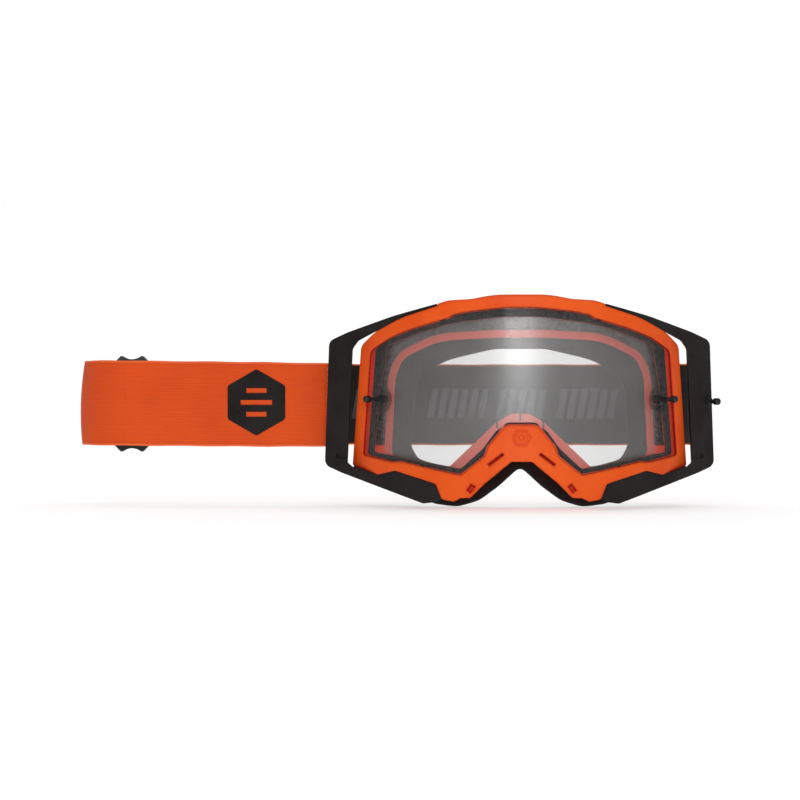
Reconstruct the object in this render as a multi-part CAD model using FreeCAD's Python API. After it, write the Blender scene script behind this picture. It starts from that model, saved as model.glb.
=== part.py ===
"""Motocross goggles: frame, lens, tear-off posts, face foam, outriggers and strap.

Millimetres. The wearer's face is behind (+Y), the lens faces -Y, +Z is up and +X is the
viewer's right. The origin is on the symmetry plane, level with the lens posts, where the
face foam meets the brow.

Almost every part is an outline drawn in the XZ plane, run along Y, and trimmed by upright
cylinders: FRONT cylinders follow the lens, REAR cylinders follow the face.
"""
import FreeCAD, Part
import math
import os

Vector = FreeCAD.Vector

# ---- driving dimensions -----------------------------------------------------------------
FRONT_AXIS_Y = 48.0        # upright axis that the lens and bezel curve about
REAR_AXIS_Y = 105.0        # upright axis that the foam and its flange curve about
Y_NEAR = -75.0             # prisms start in front of everything
HALF_HEIGHT = 80.0         # trimming cylinders are taller than every part

LIP_FRONT_R = 100.0        # bezel front face
LIP_BACK_R = 93.4          # bezel lip back face, against the inner frame's ledge
LENS_FRONT_R = 98.1        # outer pane
LENS_BACK_R = 97.1
SPACER_BACK_R = 94.5       # foam ring between the two panes
INNER_PANE_BACK_R = 93.7
LEDGE_BACK_R = 91.8
LENS_GAP = 0.35            # lens edge to bezel, all round
PANE_OVERLAP = 1.2         # how far the inner pane runs out behind the foam ring

FOAM_REAR_R = 105.0        # fleece face that touches the skin
FLEECE_FRONT_R = 108.0
MID_FRONT_R = 115.0
BASE_FRONT_R = 123.0
FLANGE_FRONT_R = 125.2
LINER_FRONT_R = 127.7
SKIRT_REAR_R = 130.0       # back edge of the bezel's outer skirt

WALL = 2.0                 # inner frame wall
RING_BAND = 4.0            # orange band of the flange that stays bare inside

OUTRIGGER_R = 99.0         # the arms leave the frame on this cylinder
OUTRIGGER_TURN = math.radians(41.0)   # then run straight out at this angle
OUTRIGGER_THICK = 7.5
OUTRIGGER_REACH = 62.0     # length of the straight part before trimming

POST_ANGLE = math.asin(73.5 / 98.0)   # lens posts, seen from above
POST_Z = 0.4
STEM_R = 1.0
HEAD_R = 1.85
HEAD_LONG = 3.4
HEAD_FILLET = 0.7
POST_LONG = 7.2            # lens face to underside of the head
POST_FLANGE_R = 2.3
POST_FLANGE_THICK = 0.7
WASHER_R = 7.0
WASHER_THICK = 0.8
WASHER_CLEAR = 0.25        # foam ring stands off the washer and the nut by this much
NUT_R = 2.1
NUT_THICK = 1.6
PIN_DROP = 4.9             # small locating pin below the right post
PIN_R = 0.7
PIN_CAP_R = 1.4
OUTRIGGER_POST_X = 101.2
OUTRIGGER_POST_LONG = 3.8
OUTRIGGER_POST_Z = -0.8

STRAP_WIDTH = 45.0
STRAP_THICK = 1.5
STRAP_Z = -2.3             # strap centre line
FRONT_RUN_Y = 19.5
REAR_RUN_Y = 65.0
FOLD_X = -240.6            # outermost point of the fold
FOLD_FRONT_R = 36.0
FOLD_REAR_R = 14.0
RETURN_R = 22.0            # bend behind the right outrigger
BAR_X = 97.0
BAR_Y = 23.5
BAR_R = 2.0
BAR_SLACK = 0.1            # strap loop to bar
SEWN_LONG = 17.0           # doubled, sewn length beside each bar
LUG_THICK = 4.0

ADJUSTER_X = -214.6
ADJUSTER_WIDE = 19.5
ADJUSTER_TALL = 53.3
ADJUSTER_Z = -2.1
ADJUSTER_SLOT = 45.6       # clear length of the slots the web runs through
ADJUSTER_BAR = 3.2
ADJUSTER_DEEP = 4.4
ADJUSTER_TIP = 6.1         # half the distance between the two horns of each end
ADJUSTER_HOLLOW = 1.8      # depth of the hollow between the horns

BADGE_X = -141.6
BADGE_Z = -1.3
BADGE_THICK = 0.35
BADGE_TALL = 36.0
GRIP_THICK = 0.45

# ---- outlines: right half, top centre to bottom centre, as (x, z, corner radius) ----------
FRAME_OUTER = [(14, 54.1, 60), (26, 51.9, 30), (37.5, 51.4, 12), (42.8, 49.9, 1.2),
               (43.5, 48.5, 0.8), (62, 43, 60), (76.5, 35.6, 20), (84, 28.8, 6),
               (88.9, -34.9, 1.5), (74.6, -39.2, 1.2), (65.5, -36.9, 2.5),
               (44.2, -43.3, 2.5), (41, -51.3, 2), (34.8, -52.4, 2.5), (31.2, -50.5, 1.5),
               (26.3, -50.4, 2), (19.3, -43.3, 4), (5.3, -31.7, 2.5)]
FRAME_OPENING = [(9, 47.6, 50), (27, 45.7, 60), (35.2, 44.2, 1.2), (37.4, 42.5, 1.2),
                 (54.5, 37.9, 90), (67.5, 33.2, 40), (78.5, 26.2, 3.5),
                 (82.7, -29.3, 1.5), (66.8, -32.7, 1.5), (62.2, -32.3, 1.5),
                 (41.3, -36.9, 8), (31.2, -38.9, 1.5), (18.9, -29, 2), (17.2, -24, 5),
                 (9.4, -14.4, 3), (6.5, -12.9, 2)]
TUB_OUTER = [(14, 51.2, 60), (26, 49.4, 30), (38, 48, 8), (61, 40.6, 60), (75, 33.4, 18),
             (81.8, 27.2, 6), (86.1, -31.8, 3), (75, -35.9, 5), (65.3, -34, 5),
             (42.2, -41, 4), (38.9, -48.8, 3.5), (27.5, -47.9, 3.5), (20.6, -41, 4),
             (6, -29, 3)]
SPACER_OUTER = [(9, 47, 50), (27, 45.1, 60), (34.8, 43.6, 1.2), (37, 41.9, 1.2),
                (54.3, 37.2, 90), (66.8, 32.8, 40), (76.1, 27.4, 3.5),
                (80.5, -28.7, 1.5), (66.8, -32, 1.5), (62.2, -31.7, 1.5),
                (41.4, -36.2, 8), (31.3, -38, 1.5), (19.5, -28.6, 2), (17.9, -23.8, 5),
                (9.8, -13.8, 3), (6.8, -12.3, 2)]
SPACER_OPENING = [(10, 42.8, 60), (36, 39.7, 60), (52, 35.2, 60), (69.6, 28.9, 5),
                  (73.3, 8, 60), (77, -27.5, 1.5), (68.7, -28.8, 6), (41.8, -33.6, 10),
                  (31.2, -35.6, 2), (19.7, -25, 3), (13.5, -16.4, 8), (7.2, -11.5, 3)]
RING_OPENING = [(12, 32.8, 60), (43, 31.2, 40), (62, 22.2, 12), (66, 12, 20),
                (68, -29.3, 4), (62, -31.6, 4), (42, -36.2, 4), (36.8, -34.8, 3),
                (12.6, -11.8, 5), (4.6, -7.2, 3)]
FOAM_OUTER = [(14, 52.4, 60), (26, 50.9, 30), (42, 47.6, 20), (61, 41.6, 60),
              (75, 34.6, 18), (82.6, 28, 8), (87, -32.5, 6), (76, -41.5, 10),
              (58, -48.8, 20), (45.5, -55.2, 9), (33, -56.6, 10), (21.5, -53.2, 14),
              (10.9, -45.4, 10), (0.9, -36.4, 0.4)]
FOAM_OPENING = [(13, 27, 40), (41, 20.6, 40), (55, 10.5, 9), (58, -24, 8), (54, -31.5, 5),
                (42, -34.6, 4), (36.8, -35.4, 3), (12.4, -12.8, 5), (4.4, -8.2, 3)]
OUTRIGGER_OUTER = [(43.6, 49.8, 0.5), (66.9, 43.9, 80), (91, 36.1, 40), (101.6, 31.6, 4.5),
                   (104, -34.8, 4.5), (95, -38.6, 4), (50.8, -53.7, 1.5),
                   (43.6, -52.8, 1.5), (40.8, -51.2, 0.2), (38, -46, 0.5), (60, -20, 0.5),
                   (60, 20, 0.5), (42, 40, 0.5), (42.4, 48.4, 0.2)]
OUTRIGGER_WINDOW = [(75.9, 36.4, 0.3), (85.6, 31.6, 4.0), (88.8, 27.4, 4.0),
                    (91.6, -33.4, 1.0), (88.5, -36, 0.2), (80, -20, 1), (70, 30, 1)]
RIDGE_X = 96.8             # upright ridge on the face of the outrigger's outer bar
RIDGE_HOLLOW = 1.6         # depth of the hollow side of the ridge at the window
RIDGE_LOW, RIDGE_HIGH = -31.0, 25.0

NOSE_SLOT_DEEP = 4.6
NOSE_SLOT_WIDE = 1.5
CHIN_POCKET_DEEP = 3.4
CHIN_POCKET_WIDE = 2.8
EMBLEM_Z = -19.4
EMBLEM_DEEP = 0.5
VENT_TOP_X = (-36.0, -18.0, 0.0, 18.0, 36.0)
VENT_TOP_WIDE = 12.0
VENT_TOP_Y = (-41.0, -29.0)
VENT_LOW_X = (-74.0, -61.0, -48.0, 48.0, 61.0, 74.0)
VENT_LOW_WIDE = 8.0
SNAP_PIN_R = 1.25


# ---- drawing helpers ----------------------------------------------------------------------
def both_halves(half):
    """Close a right-half outline by mirroring it in the symmetry plane."""
    return half + [(-x, z, r) for x, z, r in reversed(half)]


def mirror_x(shape):
    return shape.mirror(Vector(0, 0, 0), Vector(1, 0, 0))


def offset_outline(corners, distance):
    """Move a clockwise outline outward by a distance, or inward by a negative one."""
    moved = []
    count = len(corners)
    for i, (x, z, r) in enumerate(corners):
        before = corners[i - 1]
        after = corners[(i + 1) % count]
        ax, az = x - before[0], z - before[1]
        bx, bz = after[0] - x, after[1] - z
        la, lb = math.hypot(ax, az), math.hypot(bx, bz)
        nax, naz = -az / la, ax / la
        nbx, nbz = -bz / lb, bx / lb
        scale = distance / (1 + nax * nbx + naz * nbz)
        turn = ax * bz - az * bx
        radius = r + distance if turn < 0 else r - distance
        moved.append((x + (nax + nbx) * scale, z + (naz + nbz) * scale, max(radius, 0.2)))
    return moved


def rounded_wire(corners):
    """Closed wire in the XZ plane through (x, z, radius) corners, each one rounded."""
    count = len(corners)
    points = [Vector(x, 0, z) for x, z, r in corners]
    cuts = []
    for i in range(count):
        to_before = (points[i - 1] - points[i])
        to_after = (points[(i + 1) % count] - points[i])
        reach = 0.49 * min(to_before.Length, to_after.Length)
        to_before.normalize()
        to_after.normalize()
        half = to_before.getAngle(to_after) / 2
        trim = min(corners[i][2] / math.tan(half), reach)
        radius = trim * math.tan(half)
        middle = to_before + to_after
        if middle.Length < 1e-6:
            cuts.append((points[i], points[i], points[i]))
            continue
        middle.normalize()
        tip = points[i] + middle * (radius / math.sin(half) - radius)
        cuts.append((points[i] + to_before * trim, tip, points[i] + to_after * trim))
    edges = []
    for i in range(count):
        start, tip, end = cuts[i]
        if (end - start).Length > 1e-4:
            edges.append(Part.Arc(start, tip, end).toShape())
        following = cuts[(i + 1) % count][0]
        if (following - end).Length > 1e-5:
            edges.append(Part.makeLine(end, following))
    return Part.Wire(edges)


def prism(corners, y_start=Y_NEAR, y_end=FRONT_AXIS_Y - 1):
    """Solid made by running an XZ outline along Y."""
    face = Part.Face(rounded_wire(corners))
    face.translate(Vector(0, y_start, 0))
    return face.extrude(Vector(0, y_end - y_start, 0))


def upright(axis_y, radius):
    """Tall upright cylinder on the symmetry plane."""
    return Part.makeCylinder(radius, 2 * HALF_HEIGHT, Vector(0, axis_y, -HALF_HEIGHT))


def front_shell(outer_r, inner_r):
    return upright(FRONT_AXIS_Y, outer_r).cut(upright(FRONT_AXIS_Y, inner_r))


def rear_shell(outer_r, inner_r):
    return upright(REAR_AXIS_Y, outer_r).cut(upright(REAR_AXIS_Y, inner_r))


def box(x0, x1, y0, y1, z0, z1):
    return Part.makeBox(x1 - x0, y1 - y0, z1 - z0, Vector(x0, y0, z0))


def radial(angle):
    """Outward direction from the lens axis, seen from above."""
    return Vector(math.sin(angle), -math.cos(angle), 0)


def on_lens(angle, radius, z):
    return Vector(0, FRONT_AXIS_Y, z) + radial(angle) * radius


def rod(start, direction, radius, length):
    return Part.makeCylinder(radius, length, start, direction)


def slanted_slot(x0, z0, x1, z1, wide, y_start, y_end):
    """Square-ended slot between two points of the XZ plane, run along Y."""
    along = Vector(x1 - x0, 0, z1 - z0)
    side = Vector(-along.z, 0, along.x).normalize() * (wide / 2)
    a, b = Vector(x0, y_start, z0), Vector(x1, y_start, z1)
    wire = Part.makePolygon([a + side, b + side, b - side, a - side, a + side])
    return Part.Face(wire).extrude(Vector(0, y_end - y_start, 0))


def hexagon(x, z, width, tilt=0.0):
    """Corners of a hexagon with flats top and bottom unless tilted."""
    reach = width / 2
    turns = [math.radians(tilt - 60 * k) for k in range(6)]
    return [(x + reach * math.cos(t), z + reach * math.sin(t), width * 0.06) for t in turns]


# ---- orange frame ---------------------------------------------------------------------------
def snap_pins():
    """Four plain pins that tie the outriggers to the frame, top and bottom."""
    pins = []
    for side in (-1, 1):
        pins.append(rod(Vector(side * 68, -19, 36.6), Vector(0, 0, 1), SNAP_PIN_R, 5.0))
        pins.append(rod(Vector(side * 60, -25, -46.0), Vector(0, 0, 1), SNAP_PIN_R, 10.0))
    return pins


def vent_cutters():
    """Boxes that open the air vents through the skirt and the wall behind it."""
    cutters = []
    for x in VENT_TOP_X:
        half = VENT_TOP_WIDE / 2
        drop = 4.0 if abs(x) > 30 else 0.0
        cutters.append(box(x - half, x + half, VENT_TOP_Y[0] + drop, VENT_TOP_Y[1] + drop,
                           44.8 - drop, 60))
    for x in VENT_LOW_X:
        half = VENT_LOW_WIDE / 2
        depth = front_depth(x)
        cutters.append(box(x - half, x + half, depth + 9, depth + 14, -47, -33.5))
    return cutters


def front_depth(x):
    """Y of the bezel front face at a distance x from the symmetry plane."""
    return FRONT_AXIS_Y - math.sqrt(LIP_FRONT_R ** 2 - x ** 2)


def front_frame():
    """Bezel: the lip around the lens and a skirt that runs back from its outer edge."""
    outer = both_halves(FRAME_OUTER)
    lip = prism(outer).cut(prism(both_halves(FRAME_OPENING)))
    lip = lip.common(front_shell(LIP_FRONT_R, LIP_BACK_R))
    skirt = prism(outer).cut(prism(both_halves(TUB_OUTER)))
    skirt = skirt.common(upright(FRONT_AXIS_Y, LIP_FRONT_R))
    skirt = skirt.cut(upright(REAR_AXIS_Y, SKIRT_REAR_R))
    shape = lip.fuse(skirt).removeSplitter()
    for side in (-1, 1):
        shape = shape.cut(slanted_slot(side * 17, -33.5, side * 9.4, -27.7, NOSE_SLOT_WIDE,
                                       Y_NEAR, front_depth(13) + NOSE_SLOT_DEEP))
        shape = shape.cut(slanted_slot(side * 27.3, -47.3, side * 24.7, -43.7,
                                       CHIN_POCKET_WIDE, Y_NEAR,
                                       front_depth(26) + CHIN_POCKET_DEEP))
    emblem_floor = front_depth(0) + EMBLEM_DEEP
    emblem = prism(hexagon(0, EMBLEM_Z, 9.6), Y_NEAR, emblem_floor)
    emblem = emblem.cut(prism(hexagon(0, EMBLEM_Z, 6.6), Y_NEAR, emblem_floor))
    emblem = emblem.fuse(prism(hexagon(0, EMBLEM_Z, 3.4), Y_NEAR, emblem_floor))
    return shape.cut(emblem)


def inner_frame():
    """Tub behind the bezel: a wall to the foam flange and a ledge behind the lens."""
    outer = both_halves(TUB_OUTER)
    body = prism(outer).common(upright(FRONT_AXIS_Y, LIP_BACK_R))
    body = body.cut(upright(REAR_AXIS_Y, FLANGE_FRONT_R))
    hollow = prism(offset_outline(outer, -WALL))
    wall = body.cut(hollow)
    ledge = body.cut(prism(both_halves(SPACER_OPENING)))
    ledge = ledge.common(front_shell(LIP_BACK_R, LEDGE_BACK_R))
    return wall.fuse(ledge).removeSplitter()


def face_flange():
    """Ring at the back of the tub that the face foam is glued to."""
    outer = offset_outline(both_halves(TUB_OUTER), 1.2)
    ring = prism(outer, Y_NEAR, 60).cut(prism(both_halves(RING_OPENING), Y_NEAR, 60))
    ring = ring.common(rear_shell(FLANGE_FRONT_R, BASE_FRONT_R))
    for x, z in ((-12.2, -12.4), (0, -8.2), (12.2, -12.4)):
        ring = ring.cut(box(x - 0.5, x + 0.5, -40, 20, z - 2.6, z + 6))
    return ring


def vent_liner():
    """Thin open-cell foam over the front of the flange, along the brow and both sides."""
    outer = offset_outline(both_halves(TUB_OUTER), -WALL - 0.2)
    inner = offset_outline(both_halves(RING_OPENING), RING_BAND)
    sheet = prism(outer, Y_NEAR, 60).cut(prism(inner, Y_NEAR, 60))
    sheet = sheet.common(rear_shell(LINER_FRONT_R, FLANGE_FRONT_R))
    nose = box(-45, 45, Y_NEAR, 60, -60, 10)
    sheet = sheet.common(upright(FRONT_AXIS_Y, LEDGE_BACK_R - 0.1))
    return sheet.common(box(-95, 95, Y_NEAR, 60, -24, 60)).cut(nose)


def low_vent_foam(side):
    """Foam strip lying on the bottom wall over the lower vents."""
    outer = offset_outline(both_halves(TUB_OUTER), -WALL - 0.1)
    inner = offset_outline(both_halves(TUB_OUTER), -WALL - 2.2)
    strip = prism(outer).cut(prism(inner)).common(upright(FRONT_AXIS_Y, LEDGE_BACK_R - 0.2))
    strip = strip.cut(upright(REAR_AXIS_Y, LINER_FRONT_R))
    x0, x1 = sorted((side * 44.5, side * 79.0))
    return strip.common(box(x0, x1, Y_NEAR, 60, -50, -26))


# ---- lens and its posts -----------------------------------------------------------------------
def lens_spacer():
    """Closed-cell foam ring between the two panes, hollowed for each washer and nut."""
    ring = prism(both_halves(SPACER_OUTER)).cut(prism(both_halves(SPACER_OPENING)))
    ring = ring.common(front_shell(LENS_BACK_R, SPACER_BACK_R))
    hollow_back = LENS_BACK_R - WASHER_THICK - WASHER_CLEAR
    for side in (-1, 1):
        direction = radial(side * POST_ANGLE)
        start = on_lens(side * POST_ANGLE, SPACER_BACK_R - 5, POST_Z)
        hollow = rod(start, direction, WASHER_R + WASHER_CLEAR, 12)
        ring = ring.cut(hollow.cut(upright(FRONT_AXIS_Y, hollow_back)))
        ring = ring.cut(rod(start, direction, NUT_R + WASHER_CLEAR, 12))
    return ring


def lens_inner():
    """Thin inner pane, bonded to the back of the foam ring."""
    pane = prism(offset_outline(both_halves(SPACER_OPENING), PANE_OVERLAP))
    pane = pane.common(prism(both_halves(SPACER_OUTER)))
    return pane.common(front_shell(SPACER_BACK_R, INNER_PANE_BACK_R))


def lens():
    outline = offset_outline(both_halves(FRAME_OPENING), -LENS_GAP)
    shape = prism(outline).common(front_shell(LENS_FRONT_R, LENS_BACK_R))
    for side in (-1, 1):
        start = on_lens(side * POST_ANGLE, LENS_BACK_R - 3, POST_Z)
        shape = shape.cut(rod(start, radial(side * POST_ANGLE), STEM_R, 8))
    start = on_lens(POST_ANGLE, LENS_BACK_R - 3, POST_Z - PIN_DROP)
    return shape.cut(rod(start, radial(POST_ANGLE), PIN_R, 8))


def post(base, direction, inner_long, outer_long):
    """Post with a seating flange, a thin stem and a rounded head."""
    stem = rod(base - direction * inner_long, direction, STEM_R, inner_long + outer_long + 0.5)
    flange = rod(base, direction, POST_FLANGE_R, POST_FLANGE_THICK)
    head = rod(base + direction * outer_long, direction, HEAD_R, HEAD_LONG)
    rims = [edge for edge in head.Edges if len(edge.Vertexes) == 1]
    head = head.makeFillet(HEAD_FILLET, rims)
    return stem.fuse(flange).fuse(head)


def tearoff_post(side):
    base = on_lens(side * POST_ANGLE, LENS_FRONT_R + 0.02, POST_Z)
    inner = LENS_FRONT_R - LENS_BACK_R + WASHER_THICK + NUT_THICK
    return post(base, radial(side * POST_ANGLE), inner, POST_LONG)


def lens_washer(side):
    """Clear washer behind the lens, curved to lie against it."""
    direction = radial(side * POST_ANGLE)
    start = on_lens(side * POST_ANGLE, LENS_BACK_R - 6, POST_Z)
    disc = rod(start, direction, WASHER_R, 12).cut(rod(start, direction, STEM_R, 12))
    washer = disc.common(front_shell(LENS_BACK_R, LENS_BACK_R - WASHER_THICK))
    if side > 0:
        pin_start = on_lens(POST_ANGLE, LENS_BACK_R - 6, POST_Z - PIN_DROP)
        washer = washer.cut(rod(pin_start, direction, PIN_R, 12))
    return washer


def post_nut(side):
    """Small round nut that clamps the washer and the lens to the post."""
    direction = radial(side * POST_ANGLE)
    back = LENS_BACK_R - WASHER_THICK - NUT_THICK
    start = on_lens(side * POST_ANGLE, back, POST_Z)
    nut = rod(start, direction, NUT_R, NUT_THICK + 1)
    nut = nut.cut(rod(start - direction, direction, STEM_R, NUT_THICK + 3))
    return nut.common(upright(FRONT_AXIS_Y, LENS_BACK_R - WASHER_THICK))


def lens_pin():
    """Locating pin that keeps the right washer from turning."""
    direction = radial(POST_ANGLE)
    start = on_lens(POST_ANGLE, LENS_BACK_R - WASHER_THICK - 0.8, POST_Z - PIN_DROP)
    pin = rod(start, direction, PIN_R, 3.0)
    cap_start = on_lens(POST_ANGLE, LENS_FRONT_R + 0.02, POST_Z - PIN_DROP)
    return pin.fuse(rod(cap_start, direction, PIN_CAP_R, 0.7))


# ---- outriggers -------------------------------------------------------------------------------
def outrigger_band():
    """Upright band the right outrigger is cut from: an arc, then a straight run outward."""
    first = math.radians(20.0)
    straight = Vector(math.cos(OUTRIGGER_TURN), math.sin(OUTRIGGER_TURN), 0)

    def at(angle, radius):
        return on_lens(angle, radius, -HALF_HEIGHT)

    inner_r = OUTRIGGER_R - OUTRIGGER_THICK
    middle = (first + OUTRIGGER_TURN) / 2
    front_end = at(OUTRIGGER_TURN, OUTRIGGER_R) + straight * OUTRIGGER_REACH
    back_end = at(OUTRIGGER_TURN, inner_r) + straight * OUTRIGGER_REACH
    edges = [Part.Arc(at(first, OUTRIGGER_R), at(middle, OUTRIGGER_R),
                      at(OUTRIGGER_TURN, OUTRIGGER_R)).toShape(),
             Part.makeLine(at(OUTRIGGER_TURN, OUTRIGGER_R), front_end),
             Part.makeLine(front_end, back_end),
             Part.makeLine(back_end, at(OUTRIGGER_TURN, inner_r)),
             Part.Arc(at(OUTRIGGER_TURN, inner_r), at(middle, inner_r),
                      at(first, inner_r)).toShape(),
             Part.makeLine(at(first, inner_r), at(first, OUTRIGGER_R))]
    return Part.Face(Part.Wire(edges)).extrude(Vector(0, 0, 2 * HALF_HEIGHT))


def outrigger_face_y(x):
    """Y of the outrigger's straight front face at x."""
    corner = on_lens(OUTRIGGER_TURN, OUTRIGGER_R, 0)
    return corner.y + (x - corner.x) * math.tan(OUTRIGGER_TURN)


def outrigger_right():
    """C-shaped arm: upper arm, outer bar and lower wing, with two lugs for the strap bar."""
    shape = prism(OUTRIGGER_OUTER, Y_NEAR, 60).cut(prism(OUTRIGGER_WINDOW, Y_NEAR, 60))
    shape = shape.common(outrigger_band()).cut(prism(both_halves(FRAME_OUTER), Y_NEAR, 60))
    back_y = outrigger_face_y(BAR_X) + OUTRIGGER_THICK / math.cos(OUTRIGGER_TURN)
    for z in (STRAP_Z + STRAP_WIDTH / 2 + 0.4, STRAP_Z - STRAP_WIDTH / 2 - 0.4 - LUG_THICK):
        lug = box(BAR_X - 4, BAR_X + 4, back_y - 5, BAR_Y, z, z + LUG_THICK)
        lug = lug.fuse(rod(Vector(BAR_X, BAR_Y, z), Vector(0, 0, 1), 4, LUG_THICK))
        shape = shape.fuse(lug)
    shape = shape.cut(strap_bar(1))
    dimple = rod(Vector(97, outrigger_face_y(97), -29.6), radial(OUTRIGGER_TURN), 1.3, 3)
    dimple.translate(radial(OUTRIGGER_TURN) * -1.0)
    return shape.cut(dimple).cut(ridge_hollow()).removeSplitter()


def ridge_hollow():
    """Wedge cut away between the ridge and the window, deepest at the window."""
    inner_x = RIDGE_X - 10
    ridge = Vector(RIDGE_X, outrigger_face_y(RIDGE_X), RIDGE_LOW)
    inner = Vector(inner_x, outrigger_face_y(inner_x), RIDGE_LOW)
    proud = radial(OUTRIGGER_TURN)
    wire = Part.makePolygon([ridge, inner + proud, inner - proud * RIDGE_HOLLOW, ridge])
    return Part.Face(wire).extrude(Vector(0, 0, RIDGE_HIGH - RIDGE_LOW))


def strap_bar(side):
    """Steel bar behind the outer edge of the outrigger that the strap loops round."""
    long = STRAP_WIDTH + 0.8 + LUG_THICK
    foot = Vector(side * BAR_X, BAR_Y, STRAP_Z - long / 2)
    return rod(foot, Vector(0, 0, 1), BAR_R, long)


def outrigger_post():
    base = Vector(OUTRIGGER_POST_X, outrigger_face_y(OUTRIGGER_POST_X), OUTRIGGER_POST_Z)
    return post(base, radial(OUTRIGGER_TURN), 4.0, OUTRIGGER_POST_LONG)


# ---- face foam --------------------------------------------------------------------------------
def foam_layer(front_r, rear_r, inset):
    """One layer of the face foam; each layer may stand in a little from the one before."""
    outer = prism(offset_outline(both_halves(FOAM_OUTER), -inset), Y_NEAR, 60)
    inner = prism(offset_outline(both_halves(FOAM_OPENING), inset), Y_NEAR, 60)
    return outer.cut(inner).common(rear_shell(front_r, rear_r))


# ---- strap ------------------------------------------------------------------------------------
STRAP_LOW = STRAP_Z - STRAP_WIDTH / 2
FOLD_FRONT_CENTRE = Vector(FOLD_X + FOLD_FRONT_R, FRONT_RUN_Y + FOLD_FRONT_R, 0)
FOLD_REAR_CENTRE = Vector(FOLD_X + FOLD_REAR_R, REAR_RUN_Y - FOLD_REAR_R, 0)
RETURN_CENTRE = Vector(BAR_X - RETURN_R, REAR_RUN_Y - RETURN_R, 0)
LOOP_R = BAR_R + BAR_SLACK


def web_box(x0, x1, y0, y1):
    return box(x0, x1, y0, y1, STRAP_LOW, STRAP_LOW + STRAP_WIDTH)


def web_arc(centre, radius, start_degrees, sweep_degrees):
    """Webbing bent round an upright axis; the radius is to its middle."""
    foot = Vector(centre.x, centre.y, STRAP_LOW)
    half = STRAP_THICK / 2
    outer = Part.makeCylinder(radius + half, STRAP_WIDTH, foot, Vector(0, 0, 1), sweep_degrees)
    inner = Part.makeCylinder(radius - half, STRAP_WIDTH, foot)
    bend = outer.cut(inner)
    bend.rotate(foot, Vector(0, 0, 1), start_degrees)
    return bend


def strap_front_run():
    half = STRAP_THICK / 2
    return web_box(FOLD_FRONT_CENTRE.x, -BAR_X - SEWN_LONG, FRONT_RUN_Y - half,
                   FRONT_RUN_Y + half)


def strap_fold():
    return web_arc(FOLD_FRONT_CENTRE, FOLD_FRONT_R, 180, 90).fuse(
        web_arc(FOLD_REAR_CENTRE, FOLD_REAR_R, 90, 90)).removeSplitter()


def strap_rear_run():
    half = STRAP_THICK / 2
    return web_box(FOLD_REAR_CENTRE.x, RETURN_CENTRE.x, REAR_RUN_Y - half, REAR_RUN_Y + half)


def strap_return():
    """Bend from the rear run forward to the right bar."""
    half = STRAP_THICK / 2
    straight = web_box(BAR_X - half, BAR_X + half, BAR_Y + SEWN_LONG, RETURN_CENTRE.y)
    return web_arc(RETURN_CENTRE, RETURN_R, 0, 90).fuse(straight).removeSplitter()


def loop_round_bar(side):
    """Webbing turned round a bar, as a closed ring."""
    foot = Vector(side * BAR_X, BAR_Y, STRAP_LOW)
    ring = rod(foot, Vector(0, 0, 1), LOOP_R + STRAP_THICK, STRAP_WIDTH)
    return ring, rod(foot, Vector(0, 0, 1), LOOP_R, STRAP_WIDTH)


def strap_loop_left():
    """Sewn end: the web turns round the left bar and is doubled onto the front run."""
    ring, hole = loop_round_bar(-1)
    doubled = web_box(-BAR_X - SEWN_LONG, -BAR_X, FRONT_RUN_Y - STRAP_THICK / 2,
                      FRONT_RUN_Y + STRAP_THICK * 1.5)
    return ring.fuse(doubled).cut(hole).removeSplitter()


def strap_loop_right():
    """Sewn end: the web turns round the right bar and is doubled onto the return."""
    ring, hole = loop_round_bar(1)
    doubled = web_box(BAR_X - STRAP_THICK, BAR_X + STRAP_THICK, BAR_Y, BAR_Y + SEWN_LONG)
    return ring.fuse(doubled).cut(hole).removeSplitter()


def strap_badge():
    """Plain printed mark: a hexagon with three level bars left open."""
    y_back = FRONT_RUN_Y - STRAP_THICK / 2
    y_front = y_back - BADGE_THICK
    mark = prism(hexagon(BADGE_X, BADGE_Z, BADGE_TALL, 30), y_front, y_back)
    for row in (-1, 0, 1):
        half_long = 8.5 if row == 0 else 5.5
        z = BADGE_Z + row * 6.4
        mark = mark.cut(box(BADGE_X - half_long, BADGE_X + half_long, y_front, y_back,
                            z - 1.3, z + 1.3))
    return mark


def strap_grip():
    """Silicone beads on the inside of the rear run: three long level lines."""
    y_back = REAR_RUN_Y - STRAP_THICK / 2
    lines = []
    for z in (5.0, -2.0, -9.0):
        lines.append(box(-92, 70, y_back - GRIP_THICK, y_back, z - 1.3, z + 1.3))
    return Part.makeCompound(lines)


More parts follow.
